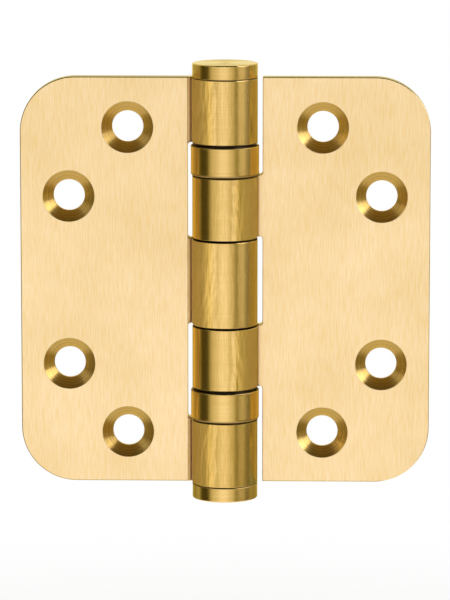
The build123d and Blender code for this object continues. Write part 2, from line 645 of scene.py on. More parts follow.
class Effects:
    """The node groups of the effects, each built once."""

    def __init__(self, room: StudioRoom) -> None:
        """Starts with no group built.

        Args:
            room: The studio's brightness by direction.
        """
        self.room = room
        self.made: dict[Effect, bpy.types.NodeTree] = {}
        self.builders: dict[Effect, Callable[[], bpy.types.NodeTree]] = {
            Effect.UPRIGHT_LINES: self._upright_lines,
            Effect.TURNED_LINES: self._turned_lines,
            Effect.PATCHES: self._patches,
            Effect.SEAMS: self._seams,
            Effect.STUDIO: self._studio,
        }

    def group(self, effect: Effect) -> bpy.types.NodeTree:
        """Gives an effect's group, and builds it the first time.

        Args:
            effect: The effect.

        Returns:
            Its group.
        """
        if effect not in self.made:
            self.made[effect] = self.builders[effect]()
        return self.made[effect]

    @staticmethod
    def _start(
        effect: Effect, inputs: dict[str, float | None], outputs: dict[str, str]
    ) -> tuple[Nodes, bpy.types.Node, bpy.types.Node]:
        """Makes a group with its sockets.

        Args:
            effect: The effect.
            inputs: Name to the value at the start, or to None for a vector.
            outputs: Name to kind of socket.

        Returns:
            The builder, the group's input node and its output node.
        """
        tree = bpy.data.node_groups.new(effect.value, "ShaderNodeTree")
        for name, value in inputs.items():
            kind = "NodeSocketVector" if value is None else "NodeSocketFloat"
            socket = tree.interface.new_socket(name, in_out="INPUT", socket_type=kind)
            if value is not None:
                socket.default_value = value
        for name, kind in outputs.items():
            tree.interface.new_socket(name, in_out="OUTPUT", socket_type="NodeSocket" + kind)
        return Nodes(tree), tree.nodes.new("NodeGroupInput"), tree.nodes.new("NodeGroupOutput")

    def _upright_lines(self) -> bpy.types.NodeTree:
        """Builds fine brushed lines that run along Z: Width and Length are theirs, in metres.

        Returns:
            The group.
        """
        nodes, start, end = self._start(
            Effect.UPRIGHT_LINES, {"Vector": None, "Width": 0.0003, "Length": 0.006}, {"Lines": "Float"}
        )
        x, y, z = nodes.split(start.outputs["Vector"])
        width, length = start.outputs["Width"], start.outputs["Length"]
        place = nodes.join(nodes.over(x, width), nodes.over(y, width), nodes.over(z, length))
        nodes.link(nodes.noise(place, 2.0, 0.6), end.inputs["Lines"])
        return nodes.tree

    def _turned_lines(self) -> bpy.types.NodeTree:
        """Builds fine lathe lines round the Z axis of the given coordinates: Width is theirs, in metres.

        Returns:
            The group.
        """
        nodes, start, end = self._start(
            Effect.TURNED_LINES, {"Vector": None, "Width": 0.0002}, {"Lines": "Float", "Radius": "Float"}
        )
        x, y, z = nodes.split(start.outputs["Vector"])
        width = start.outputs["Width"]
        radius = nodes.math("SQRT", nodes.plus(nodes.times(x, x), nodes.times(y, y)))
        # One slow change per turn keeps the lines from being perfect circles
        change = nodes.times(nodes.math("SINE", nodes.math("ARCTAN2", y, x)), 1.2)
        place = nodes.join(nodes.over(radius, width), nodes.over(z, width), change)
        nodes.link(nodes.noise(place, 2.0, 0.55), end.inputs["Lines"])
        nodes.link(radius, end.inputs["Radius"])
        return nodes.tree

    def _patches(self) -> bpy.types.NodeTree:
        """Builds slow, soft patches of tone, such as handling leaves: Size is theirs, in metres.

        Returns:
            The group.
        """
        nodes, start, end = self._start(Effect.PATCHES, {"Vector": None, "Size": 0.012}, {"Tone": "Float"})
        scaled = nodes.add("VectorMath", operation="SCALE")
        nodes.link(start.outputs["Vector"], scaled.inputs[0])
        nodes.link(nodes.over(1.0, start.outputs["Size"]), scaled.inputs["Scale"])
        nodes.link(nodes.noise(scaled.outputs[0], 3.0, 0.5), end.inputs["Tone"])
        return nodes.tree

    def _seams(self) -> bpy.types.NodeTree:
        """Builds the mask of the barrel's seams: 1 at a joint, and 0 past Outer metres from it.

        Returns:
            The group.
        """
        nodes, start, end = self._start(
            Effect.SEAMS, {"Vector": None, "Inner": 0.0001, "Outer": 0.0003}, {"Mask": "Float"}
        )
        _, _, z = nodes.split(start.outputs["Vector"])
        up = nodes.math("ABSOLUTE", z)
        nearest = None
        for joint in JOINT_HEIGHTS:
            gap = nodes.math("ABSOLUTE", nodes.minus(up, joint * MILLIMETRE))
            if joint == TIP_JOINT:
                gap = nodes.times(gap, TIP_JOINT_TIGHTNESS)
            nearest = gap if nearest is None else nodes.math("MINIMUM", nearest, gap)
        mask = nodes.ramp(nearest, start.outputs["Inner"], start.outputs["Outer"], 1.0, 0.0)
        nodes.link(mask, end.inputs["Mask"])
        return nodes.tree

    def _studio(self) -> bpy.types.NodeTree:
        """Builds the room's brightness in a direction seen from the hinge.

        Returns:
            The group.
        """
        room = self.room
        nodes, start, end = self._start(Effect.STUDIO, {"Direction": None}, {"Brightness": "Color"})
        x, y, height = nodes.split(nodes.vector("NORMALIZE", start.outputs[0]))
        azimuth = nodes.math("ARCTAN2", x, nodes.times(y, -1.0))
        turn = nodes.over(nodes.plus(azimuth, math.pi), 2 * math.pi)
        low, middle, high = (self._wall(nodes, turn, column) for column in (1, 2, 3))
        level = nodes.mix(nodes.rise(height, room.lower_heights), low, middle)
        level = nodes.mix(nodes.rise(height, room.upper_heights), level, high)
        level = nodes.mix(nodes.rise(height, room.ceiling_heights), level, room.light(room.ceiling))
        level = nodes.mix(nodes.fall(height, room.ground_heights), level, room.light(room.ground))
        for softbox in room.softboxes:
            panel = nodes.times(
                self._band(nodes, azimuth, softbox.azimuth, room.softbox_blur_angle, DEGREE),
                self._band(nodes, height, softbox.height, room.softbox_blur_height),
            )
            level = nodes.mix(panel, level, opaque(tuple(softbox.level * part for part in softbox.tint)))
        nodes.link(level, end.inputs[0])
        return nodes.tree

    def _wall(self, nodes: Nodes, turn: Socket, column: int) -> Socket:
        """Gives the walls' brightness at one of their heights.

        Args:
            nodes: The builder.
            turn: The azimuth, from 0 at the first stop to 1 at the last.
            column: Where each stop holds that height's brightness.

        Returns:
            The brightness as a colour.
        """
        node = nodes.add("ValToRGB")
        nodes.link(turn, node.inputs[0])
        stops = node.color_ramp.elements
        for wall in self.room.walls[1:-1]:
            stops.new((wall[0] + 180) / 360)
        for stop, wall in zip(stops, self.room.walls):
            stop.color = self.room.light(wall[column])
        return node.outputs[0]

    @staticmethod
    def _band(nodes: Nodes, value: Socket, span: Span, blur: float, unit: float = 1.0) -> Socket:
        """Gives 1 inside a span and 0 outside it.

        Args:
            nodes: The builder.
            value: What is compared.
            span: Where the band begins and ends.
            blur: How wide its soft edges are.
            unit: What the span and the blur are measured in.

        Returns:
            The mask.
        """
        low, high = span
        return nodes.times(
            nodes.rise(value, (low - blur, low + blur), unit),
            nodes.fall(value, (high - blur, high + blur), unit),
        )


@dataclass(frozen=True)
class Tones:
    """The lighter and the deeper tone of one metal surface."""

    light: Colour
    deep: Colour


@dataclass(frozen=True)
class Knuckles:
    """How the rolled knuckles differ from the leaf's face.

    The last part of each roll is bent a little flatter and is duller. The flank that faces the other leaf has its
    own tone, a painted reflection of that leaf, and the lowest knuckle is painted a little darker, as painted shade
    towards the bottom. Angles are in degrees round the barrel, from its front towards the leaf's end of the roll.
    wave_swing and end_blend, which sway and soften the place where the flatter part begins, are in radians.
    """

    side: int
    tones: Tones = Tones((0.96, 0.655, 0.24), (0.72, 0.46, 0.12))
    painted_flank_reflection: Tones = Tones((0.77, 0.585, 0.24), (0.62, 0.47, 0.185))
    end: Tones = Tones((0.98, 0.62, 0.145), (0.83, 0.515, 0.11))
    roughness: float = 0.20
    end_roughness: float = 0.56
    end_angle: float = 15.0
    end_fade: float = 14.0
    end_dulling: float = 42.0
    end_share: float = 0.8
    end_tilt: float = 0.24
    end_blend: float = 0.06
    flank_fade: Span = (-52.0, -46.0)
    behind_fade: Span = (96.0, 176.0)
    behind_flank_fade: Span = (-176.0, -96.0)
    radius_fade: Span = (7.22, 7.32)
    line_width: float = 0.18
    line_tone: float = 0.5
    tone_spread: float = 0.5
    wave_width: float = 2.2
    wave_length: float = 7.0
    wave_swing: float = 0.25
    waviness: float = 0.009
    lowest_top: float = -30.0
    lowest_painted_shade: float = 0.35


@dataclass(frozen=True)
class Countersinks:
    """The countersinks, with the rings that their cutter left. Lengths are in millimetres."""

    tones: Tones = Tones((0.89, 0.625, 0.205), (0.59, 0.36, 0.070))
    roughness: float = 0.29
    ring_width: float = 0.20
    ring_depth: float = 0.002
    ring_spread: float = 3.2
    rim_fade: Span = (5.62, 5.70)
    face_fade: Span = (0.81, 0.85)


@dataclass(frozen=True)
class CutEdges:
    """The cut edges of the sheet, which are duller and deeper in tone than its face.

    Lengths are in millimetres. face_fade is how far behind the pin's axis their tone comes in, at the bottom
    edge bottom_face_fade is, and nothing nearer the axis than from_axis is an edge. Where the tone comes in
    right at the face, it also covers the face's rounded edge as painted shade, a dark line round the leaf.
    """

    tones: Tones = Tones((0.56, 0.39, 0.12), (0.42, 0.285, 0.08))
    roughness: float = 0.36
    face_fade: Span = (0.801, 0.808)
    bottom: float = -44.25
    bottom_face_fade: Span = (0.801, 0.808)
    from_axis: float = 8.0


@dataclass(frozen=True)
class SeamShade:
    """Painted shade in the barrel's seams, where their gaps are in shadow: its fade on either side of a joint, in
    millimetres.
    """

    fade: Span
    colour: Colour = (0.045, 0.025, 0.006)
    roughness: float = 0.5
    radius_fade: Span = (7.45, 7.5)
    cover: float = 0.92


@dataclass(frozen=True)
class Finish:
    """A metal finish: its two tones and how its fine lines run.

    Widths, lengths, depths and sizes are in millimetres. Spread is how much wider the lines throw the light
    across them than along them, and patch_gloss how much smoother the lighter patches are.
    """

    name: str
    tones: Tones
    roughness: float
    grazing_tint: Colour = (1.0, 1.0, 1.0)
    grain: Grain = Grain.NONE
    line_width: float = 0.3
    line_length: float = 6.0
    line_tone: float = 1.0
    hair_width: float = 0.05
    hair_depth: float = 0.0
    spread: float = 0.85
    patch_size: float = 14.0
    patch_tone: float = 0.5
    patch_gloss: float = 0.1
    seams: SeamShade | None = None
    knuckles: Knuckles | None = None
    countersinks: Countersinks | None = None
    cut_edges: CutEdges | None = None


SATIN_LEAF_LEFT = Finish(
    name="satin_leaf_left",
    tones=Tones((1.0, 0.765, 0.435), (0.94, 0.665, 0.285)),
    roughness=0.30,
    grazing_tint=(1.0, 0.94, 0.46),
    grain=Grain.UPRIGHT,
    line_width=0.25,
    line_length=3.5,
    line_tone=1.2,
    hair_width=0.12,
    hair_depth=0.003,
    patch_size=18.0,
    patch_tone=0.9,
    seams=SeamShade(fade=(0.16, 0.34)),
    knuckles=Knuckles(side=-1),
    countersinks=Countersinks(),
    cut_edges=CutEdges(),
)
SATIN_LEAF_RIGHT = replace(
    SATIN_LEAF_LEFT,
    name="satin_leaf_right",
    knuckles=Knuckles(
        side=1,
        # Painted reflection: this flank tone stands in for the left leaf seen in the right knuckles
        painted_flank_reflection=Tones((1.0, 0.68, 0.215), (0.90, 0.585, 0.165)),
        # Painted shade: these darker end tones make the barrel's right-hand side darker than the left's
        end=Tones((0.75, 0.475, 0.095), (0.59, 0.36, 0.070)),
        end_angle=13.5,
        end_tilt=0.27,
    ),
    # This tone starts further behind the face, so less painted shade falls on this leaf's rounded face edges
    cut_edges=CutEdges(face_fade=(0.92, 0.98)),
)
TURNED_BRASS = Finish(
    name="turned_brass",
    tones=Tones((0.90, 0.615, 0.225), (0.76, 0.49, 0.132)),
    roughness=0.19,
    grazing_tint=(1.0, 0.94, 0.5),
    grain=Grain.TURNED,
    line_width=0.20,
    line_tone=0.8,
    hair_width=0.06,
    hair_depth=0.0012,
    # The wide fade paints shade on the cups' and buttons' rounded ends beside each joint, the shadow of the piece
    # next to them
    seams=SeamShade(fade=(0.02, 0.80)),
)
CAGE_BRASS = Finish(
    name="cage_brass",
    tones=Tones((0.78, 0.55, 0.24), (0.60, 0.40, 0.15)),
    roughness=0.34,
)
PIN_STEEL = Finish(
    name="pin_steel",
    tones=Tones((0.56, 0.55, 0.53), (0.42, 0.41, 0.40)),
    roughness=0.28,
    grain=Grain.TURNED,
    line_width=0.2,
)
RACE_STEEL = Finish(
    name="race_steel",
    tones=Tones((0.085, 0.065, 0.045), (0.045, 0.033, 0.022)),
    roughness=0.3,
    grain=Grain.TURNED,
    line_width=0.15,
)
BALL_STEEL = Finish(
    name="ball_steel",
    tones=Tones((0.80, 0.80, 0.82), (0.68, 0.68, 0.70)),
    roughness=0.08,
    patch_size=1.5,
)


@dataclass
class Coat:
    """A surface's colour, roughness, height in metres, and the direction that its fine lines run in."""

    colour: Socket | Opaque
    roughness: Socket | float
    height: Socket | float
    lines: Socket | Point = UP


class Mixing:
    """One finish as it is mixed, coat over coat, from the metal itself to what lies on it."""

    def __init__(self, effects: Effects, finish: Finish) -> None:
        """Starts the material with the metal itself, its patches and its fine lines.

        Args:
            effects: The shared node groups.
            finish: The finish.
        """
        self.effects = effects
        self.finish = finish
        self.material = bpy.data.materials.new(finish.name)
        self.nodes = nodes = Nodes.fresh(self.material)
        self.place = nodes.add("TexCoord").outputs["Object"]
        self.x, self.y, self.z = nodes.split(self.place)

        tone = self._use(Effect.PATCHES, Size=finish.patch_size * MILLIMETRE).outputs["Tone"]
        patches = nodes.times(nodes.minus(tone, 0.5), finish.patch_tone)
        self.share = nodes.plus(patches, 0.5)
        height: Socket | float = 0.0
        if finish.grain is not Grain.NONE:
            lines = nodes.times(nodes.minus(self._lines(finish.line_width), 0.5), finish.line_tone * 2)
            self.share = nodes.plus(self.share, lines, clamp=True)
            height = nodes.times(self._lines(finish.hair_width), finish.hair_depth * MILLIMETRE)
        self.coat = Coat(
            self._tone(self.share, finish.tones),
            nodes.plus(finish.roughness, nodes.times(patches, -finish.patch_gloss)),
            height,
            self._around_pin() if finish.grain is Grain.TURNED else UP,
        )

    def finish_off(self) -> bpy.types.Material:
        """Lays what the finish has over the metal, and joins the last coat to the surface.

        Returns:
            The material.
        """
        nodes, finish = self.nodes, self.finish
        if finish.cut_edges:
            self._lay_cut_edges(finish.cut_edges)
        if finish.knuckles:
            self._lay_knuckles(finish.knuckles)
        if finish.countersinks:
            self._lay_countersinks(finish.countersinks)
        if finish.seams:
            self._lay_seam_shade(finish.seams)
        surface = nodes.add("BsdfPrincipled")
        surface.inputs["Metallic"].default_value = 1.0
        surface.inputs["Specular Tint"].default_value = opaque(finish.grazing_tint)
        nodes.feed(surface.inputs["Base Color"], self.coat.colour)
        nodes.feed(surface.inputs["Roughness"], self.coat.roughness)
        bump = nodes.add("Bump")
        bump.inputs["Strength"].default_value = 1.0
        bump.inputs["Distance"].default_value = 1.0
        nodes.feed(bump.inputs["Height"], self.coat.height)
        nodes.link(bump.outputs[0], surface.inputs["Normal"])
        if finish.grain is not Grain.NONE:
            surface.inputs["Anisotropic"].default_value = finish.spread
            nodes.link(self._across_lines(), surface.inputs["Tangent"])
        nodes.link(surface.outputs[0], nodes.add("OutputMaterial").inputs[0])
        return self.material

    def _use(self, effect: Effect, **values: object) -> bpy.types.Node:
        """Places an effect's group, on Object coordinates unless it is given others.

        Args:
            effect: The effect.
            **values: Its inputs.

        Returns:
            The group's node.
        """
        node = self.nodes.add("Group")
        node.node_tree = self.effects.group(effect)
        for name, value in {"Vector": self.place, **values}.items():
            self.nodes.feed(node.inputs[name], value)
        return node

    def _lines(self, width: float) -> Socket:
        """Gives the finish's fine lines.

        Args:
            width: How wide they are, in millimetres.

        Returns:
            The lines, about 0.5 on average.
        """
        if self.finish.grain is Grain.TURNED:
            return self._use(Effect.TURNED_LINES, Width=width * MILLIMETRE).outputs["Lines"]
        length = self.finish.line_length * MILLIMETRE
        return self._use(Effect.UPRIGHT_LINES, Width=width * MILLIMETRE, Length=length).outputs["Lines"]

    def _around_pin(self) -> Socket:
        """Gives the direction round the pin's axis."""
        return self.nodes.join(self.nodes.times(self.y, -1.0), self.x, 0.0)

    def _across_lines(self) -> Socket:
        """Gives the direction across the fine lines, along which they spread the light.

        Returns:
            The direction.
        """
        nodes = self.nodes
        across = nodes.vector("CROSS_PRODUCT", nodes.add("TexCoord").outputs["Normal"], self.coat.lines)
        turned = nodes.add("VectorTransform", vector_type="VECTOR", convert_from="OBJECT", convert_to="WORLD")
        nodes.link(across, turned.inputs[0])
        return turned.outputs[0]

    def _tone(self, share: Socket, tones: Tones) -> Socket:
        """Mixes two tones, where the share is that of the lighter one."""
        return self.nodes.mix(share, opaque(tones.deep), opaque(tones.light))

    def _widen(self, value: Socket, amount: float) -> Socket:
        """Widens a noise value about its middle and keeps it between 0 and 1."""
        centred = self.nodes.times(self.nodes.minus(value, 0.5), amount)
        return self.nodes.plus(centred, 0.5, clamp=True)

    def _lay(self, mask: Socket, over: Coat) -> None:
        """Lays a coat over the last one.

        Args:
            mask: 1 where the new coat covers it.
            over: The new coat.
        """
        nodes, under = self.nodes, self.coat
        rest = nodes.minus(1.0, mask)
        roughness, height = (
            nodes.plus(nodes.times(rest, first), nodes.times(mask, second))
            for first, second in ((under.roughness, over.roughness), (under.height, over.height))
        )
        lines = nodes.mix_vectors(mask, under.lines, over.lines)
        self.coat = Coat(nodes.mix(mask, under.colour, over.colour), roughness, height, lines)

    def _lay_cut_edges(self, edges: CutEdges) -> None:
        """Lays the cut edges' tone between the sheet's two faces.

        Args:
            edges: The cut edges.
        """
        nodes = self.nodes
        at_bottom = nodes.math("LESS_THAN", self.z, edges.bottom * MILLIMETRE)
        # Coming in right at the face, this tone also covers the face's rounded edge: a painted shade line round the
        # leaf
        behind_face = nodes.math(
            "MAXIMUM",
            nodes.rise(self.y, edges.face_fade, MILLIMETRE),
            nodes.times(at_bottom, nodes.rise(self.y, edges.bottom_face_fade, MILLIMETRE)),
        )
        before_back = nodes.fall(self.y, BACK_FADE, MILLIMETRE)
        off_barrel = nodes.math(
            "GREATER_THAN", nodes.math("ABSOLUTE", self.x), edges.from_axis * MILLIMETRE
        )
        mask = nodes.times(behind_face, before_back, off_barrel)
        self._lay(mask, Coat(self._tone(self.share, edges.tones), edges.roughness, self.coat.height, BACKWARDS))

    def _lay_knuckles(self, knuckles: Knuckles) -> None:
        """Lays the knuckles' deeper polish, duller and a little flatter towards the roll's end.

        Args:
            knuckles: The knuckles.
        """
        nodes = self.nodes
        turned = self._use(Effect.TURNED_LINES, Width=knuckles.line_width * MILLIMETRE)
        mask = nodes.fall(turned.outputs["Radius"], knuckles.radius_fade, MILLIMETRE)
        angle = nodes.math("ARCTAN2", nodes.times(self.x, float(knuckles.side)), nodes.times(self.y, -1.0))
        behind = nodes.fall(angle, knuckles.behind_fade, DEGREE)

        waves = self._use(
            Effect.UPRIGHT_LINES,
            Width=knuckles.wave_width * MILLIMETRE,
            Length=knuckles.wave_length * MILLIMETRE,
        ).outputs["Lines"]
        waves = nodes.minus(waves, 0.5)
        start = nodes.plus(knuckles.end_angle * DEGREE, nodes.times(waves, knuckles.wave_swing))
        past = nodes.minus(nodes.math("MINIMUM", angle, math.pi / 2), start)
        past = nodes.times(nodes.math("SMOOTH_MAX", past, 0.0, knuckles.end_blend), behind)
        height = nodes.plus(
            nodes.times(past, knuckles.end_tilt * BARREL_RADIUS * MILLIMETRE),
            nodes.times(waves, knuckles.waviness * MILLIMETRE),
        )

        fade = (knuckles.end_angle, knuckles.end_angle + knuckles.end_fade)
        at_end = nodes.times(nodes.rise(angle, fade, DEGREE), behind)
        dulling = (knuckles.end_angle, knuckles.end_angle + knuckles.end_dulling)
        duller = nodes.times(nodes.rise(angle, dulling, DEGREE), behind)
        duller = nodes.times(duller, knuckles.end_roughness - knuckles.roughness)
        roughness = nodes.plus(duller, knuckles.roughness)

        tone = nodes.times(nodes.minus(turned.outputs["Lines"], 0.5), knuckles.line_tone)
        # Painted shade: the lowest knuckle's tone is pulled down, so the barrel is darker towards its bottom
        lowest = nodes.math("LESS_THAN", self.z, knuckles.lowest_top * MILLIMETRE)
        tone = nodes.minus(tone, nodes.times(lowest, knuckles.lowest_painted_shade))
        tone = nodes.plus(self._widen(self.share, knuckles.tone_spread), tone, clamp=True)
        colour = nodes.mix(
            nodes.times(at_end, knuckles.end_share),
            self._tone(tone, knuckles.tones),
            self._tone(tone, knuckles.end),
        )
        # Painted reflection: the flank facing the other leaf gets its own tone, standing in for that leaf seen in it
        at_flank = nodes.times(
            nodes.fall(angle, knuckles.flank_fade, DEGREE),
            nodes.rise(angle, knuckles.behind_flank_fade, DEGREE),
        )
        colour = nodes.mix(at_flank, colour, self._tone(tone, knuckles.painted_flank_reflection))
        lines = nodes.mix_vectors(at_end, nodes.vector("NORMALIZE", self._around_pin()), UP)
        self._lay(mask, Coat(colour, roughness, height, lines))

    def _lay_countersinks(self, sinks: Countersinks) -> None:
        """Lays the rings that the cutter left in the countersinks.

        Args:
            sinks: The countersinks.
        """
        nodes = self.nodes
        away, distance = self._from_hole()
        rings = self._use(
            Effect.TURNED_LINES,
            Vector=nodes.join(distance, 0.0, self.y),
            Width=sinks.ring_width * MILLIMETRE,
        ).outputs["Lines"]
        mask = nodes.times(
            nodes.fall(distance, sinks.rim_fade, MILLIMETRE),
            nodes.rise(self.y, sinks.face_fade, MILLIMETRE),
            nodes.fall(self.y, BACK_FADE, MILLIMETRE),
        )
        colour = self._tone(self._widen(rings, sinks.ring_spread), sinks.tones)
        height = nodes.times(rings, sinks.ring_depth * MILLIMETRE)
        lines = nodes.vector("CROSS_PRODUCT", away, BACKWARDS)
        self._lay(mask, Coat(colour, sinks.roughness, height, lines))

    def _from_hole(self) -> tuple[Socket, Socket]:
        """Gives the direction away from the nearest screw hole's axis, and the distance from it.

        Returns:
            The direction, one unit long, and the distance in metres.
        """
        nodes = self.nodes
        across, up = nodes.math("ABSOLUTE", self.x), nodes.math("ABSOLUTE", self.z)
        away, nearest = None, None
        for hole_x, hole_z in SCREW_HOLES:
            offset = nodes.join(
                nodes.minus(across, hole_x * MILLIMETRE), 0.0, nodes.minus(up, hole_z * MILLIMETRE)
            )
            distance = nodes.vector("LENGTH", offset, output=1)
            if nearest is None:
                away, nearest = offset, distance
            else:
                away = nodes.mix_vectors(nodes.math("LESS_THAN", distance, nearest), away, offset)
                nearest = nodes.math("MINIMUM", nearest, distance)
        signs = nodes.join(nodes.math("SIGN", self.x), 1.0, nodes.math("SIGN", self.z))
        return nodes.vector("NORMALIZE", nodes.vector("MULTIPLY", away, signs)), nearest

    def _lay_seam_shade(self, seams: SeamShade) -> None:
        """Lays painted shade where the barrel's pieces meet.

        Args:
            seams: The seams.
        """
        nodes = self.nodes
        inner, outer = (edge * MILLIMETRE for edge in seams.fade)
        mask = self._use(Effect.SEAMS, Inner=inner, Outer=outer).outputs["Mask"]
        radius = self._use(Effect.TURNED_LINES, Width=MILLIMETRE).outputs["Radius"]
        mask = nodes.times(mask, nodes.fall(radius, seams.radius_fade, MILLIMETRE), seams.cover)
        # Painted shade: a near-black tone over the seams, standing in for the shadow in the gaps
        self._lay(mask, Coat(opaque(seams.colour), seams.roughness, self.coat.height))


class Paintshop:
    """Makes a material from each finish and dresses the pieces with them."""

    def __init__(self, effects: Effects) -> None:
        """Starts with nothing mixed.

        Args:
            effects: The shared node groups.
        """
        self.effects = effects
        self.made: dict[str, bpy.types.Material] = {}

    def dress(self, piece: bpy.types.Object, finish: Finish) -> None:
        """Gives a piece one finish all over.

        Args:
            piece: The piece.
            finish: Its finish.
        """
        if finish.name not in self.made:
            self.made[finish.name] = Mixing(self.effects, finish).finish_off()
        if not piece.material_slots:
            piece.data.materials.append(self.made[finish.name])
        for slot in piece.material_slots:
            slot.material = self.made[finish.name]


@dataclass
class Leaf:
    """One leaf, rolled from one sheet round the pin, notched, drilled and countersunk.

    It is shaped as the right-hand leaf, and a left-hand one is mirrored in its mesh at the end. Its face is
    towards -Y. Its cutters reach past the sheet on every open side. notch_depths are places along Y, and
    face_round_depths are measured from the face.
    """

    name: str
    body: str
    side: int
    notches: tuple[Span, ...]
    height: float = 89.0
    reach: float = 44.5
    thickness: float = 3.0
    corner_radius: float = 12.0
    face_setback: float = 0.8
    bend_radius: float = 4.2
    seam_gap: float = 0.3
    bore_radius: float = 4.1
    notch_start: float = -20.0
    notch_reach: float = 8.13
    notch_depths: Span = (-12.0, 16.0)
    notch_corner: float = 0.5
    hole_radius: float = 3.4
    sink_radius: float = 5.6
    drill_length: float = 6.0
    drill_proud: float = 0.5
    rounding: float = 0.2
    face_round: float = 1.8
    face_round_start: float = 8.3
    face_round_overlap: float = 0.2
    face_round_depths: Span = (-0.15, 1.2)
    face_round_top: float = 60.0
    face_round_bar: float = 140.0
    burr_break: float = 0.06

    def build(self) -> bpy.types.Object:
        """Shapes the leaf.

        Returns:
            The finished piece.
        """
        piece = self._roll_sheet()
        Bench.cut(piece, [self._seam_cutter()])
        Bench.cut(piece, [self._notch_cutter(low, high) for low, high in self.notches])
        Bench.round_edges(piece, self.rounding, steps=3, angle=30)
        Bench.cut(piece, self._hole_cutters())
        Bench.round_edges(piece, self.burr_break, steps=2, angle=40)
        if self.side < 0:
            Bench.open(piece, "VERT")
            bpy.ops.mesh.select_all(action="SELECT")
            bpy.ops.transform.resize(value=(-1, 1, 1), center_override=(0, 0, 0))
            Bench.close()
        Bench.finish(piece)
        return piece

    def _roll_sheet(self) -> bpy.types.Object:
        """Makes the flat sheet with its round corners and spins its inner end round the pin.

        Returns:
            The rolled sheet.
        """
        back = self.face_setback + self.thickness
        barrel_radius = self.bore_radius + self.thickness
        bend_y = back + self.bend_radius
        bend_x = math.sqrt((barrel_radius + self.bend_radius) ** 2 - bend_y**2)
        join = math.atan2(bend_y, bend_x)
        roll_end = 2 * math.pi + math.asin((self.face_setback - self.seam_gap) / barrel_radius)
        top = self.height / 2

        piece = Bench.cube((bend_x, self.face_setback, -top), (self.reach, back, top), self.name)
        Bench.open(piece, "EDGE")
        Bench.pick_edges(lambda a, b: min(a.x, b.x) > self.reach - NEAR and abs(a.z - b.z) < NEAR)
        bpy.ops.mesh.bevel(offset=self.corner_radius, offset_type="OFFSET", segments=20, affect="EDGES")
        bpy.ops.mesh.select_mode(type="FACE")
        Bench.pick_faces(lambda centre, normal: normal.x < -FACING)
        bpy.ops.mesh.spin(steps=12, angle=math.pi / 2 - join, center=(bend_x, bend_y, 0), axis=UP)
        bpy.ops.mesh.spin(steps=96, angle=-(roll_end - join), center=(0, 0, 0), axis=UP)
        Bench.close()
        return piece

    def _seam_cutter(self) -> bpy.types.Object:
        """Makes the sliver that is taken off the face beside the seam, so that the face rounds off into it.

        Returns:
            The sliver.
        """
        start, radius, top = self.face_round_start, self.face_round, self.face_round_top
        inside = self.bore_radius + self.thickness - self.face_round_overlap
        before, behind = (self.face_setback + depth for depth in self.face_round_depths)
        cutter = Bench.cube((inside, before, -top), (start, behind, top), "seam")
        Bench.clear()
        bpy.ops.mesh.primitive_cylinder_add(
            vertices=256,
            radius=radius,
            depth=self.face_round_bar,
            location=(start, self.face_setback + radius, 0),
        )
        round_bar = bpy.context.active_object
        Bench.settle(round_bar)
        Bench.cut(cutter, [round_bar])
        return cutter

    def _notch_cutter(self, low: float, high: float) -> bpy.types.Object:
        """Makes the block that cuts one notch, with its two inner corners rounded.

        Args:
            low: The height of the notch's lower edge.
            high: The height of its upper edge.

        Returns:
            The block.
        """
        before, behind = self.notch_depths
        cutter = Bench.cube((self.notch_start, before, low), (self.notch_reach, behind, high), "notch")
        Bench.open(cutter, "EDGE")
        Bench.pick_edges(lambda a, b: min(a.x, b.x) > self.notch_reach - NEAR and abs(a.z - b.z) < NEAR)
        bpy.ops.mesh.bevel(offset=self.notch_corner, offset_type="OFFSET", segments=5, affect="EDGES")
        Bench.close()
        return cutter

    def _hole_cutters(self) -> list[bpy.types.Object]:
        """Makes the countersink drill once and copies it to the four holes.

        Returns:
            The four drills.
        """
        sink_depth = self.sink_radius - self.hole_radius
        flare = self.face_setback + sink_depth
        Bench.clear()
        bpy.ops.mesh.primitive_cylinder_add(
            vertices=96,
            radius=self.hole_radius,
            depth=self.drill_length,
            location=(0, flare + self.drill_length / 2, 0),
            rotation=(math.pi / 2, 0, 0),
        )
        drill = bpy.context.active_object
        drill.name = drill.data.name = "drill"
        Bench.settle(drill)
        Bench.open(drill, "FACE")
        Bench.pick_faces(lambda centre, normal: normal.y < -FACING)
        flare_length = sink_depth + self.drill_proud
        bpy.ops.mesh.extrude_region_move(TRANSFORM_OT_translate={"value": (0, -flare_length, 0)})
        wide = (self.sink_radius + self.drill_proud) / self.hole_radius
        bpy.ops.transform.resize(value=(wide, 1, wide), center_override=(0, 0, 0))
        Bench.close()
        drills = []
        for x, z in SCREW_HOLES:
            for up in (1, -1):
                copy = Bench.copy(drill, "drill")
                copy.location = (x, 0, up * z)
                Bench.settle(copy)
                drills.append(copy)
        bpy.data.objects.remove(drill)
        return drills


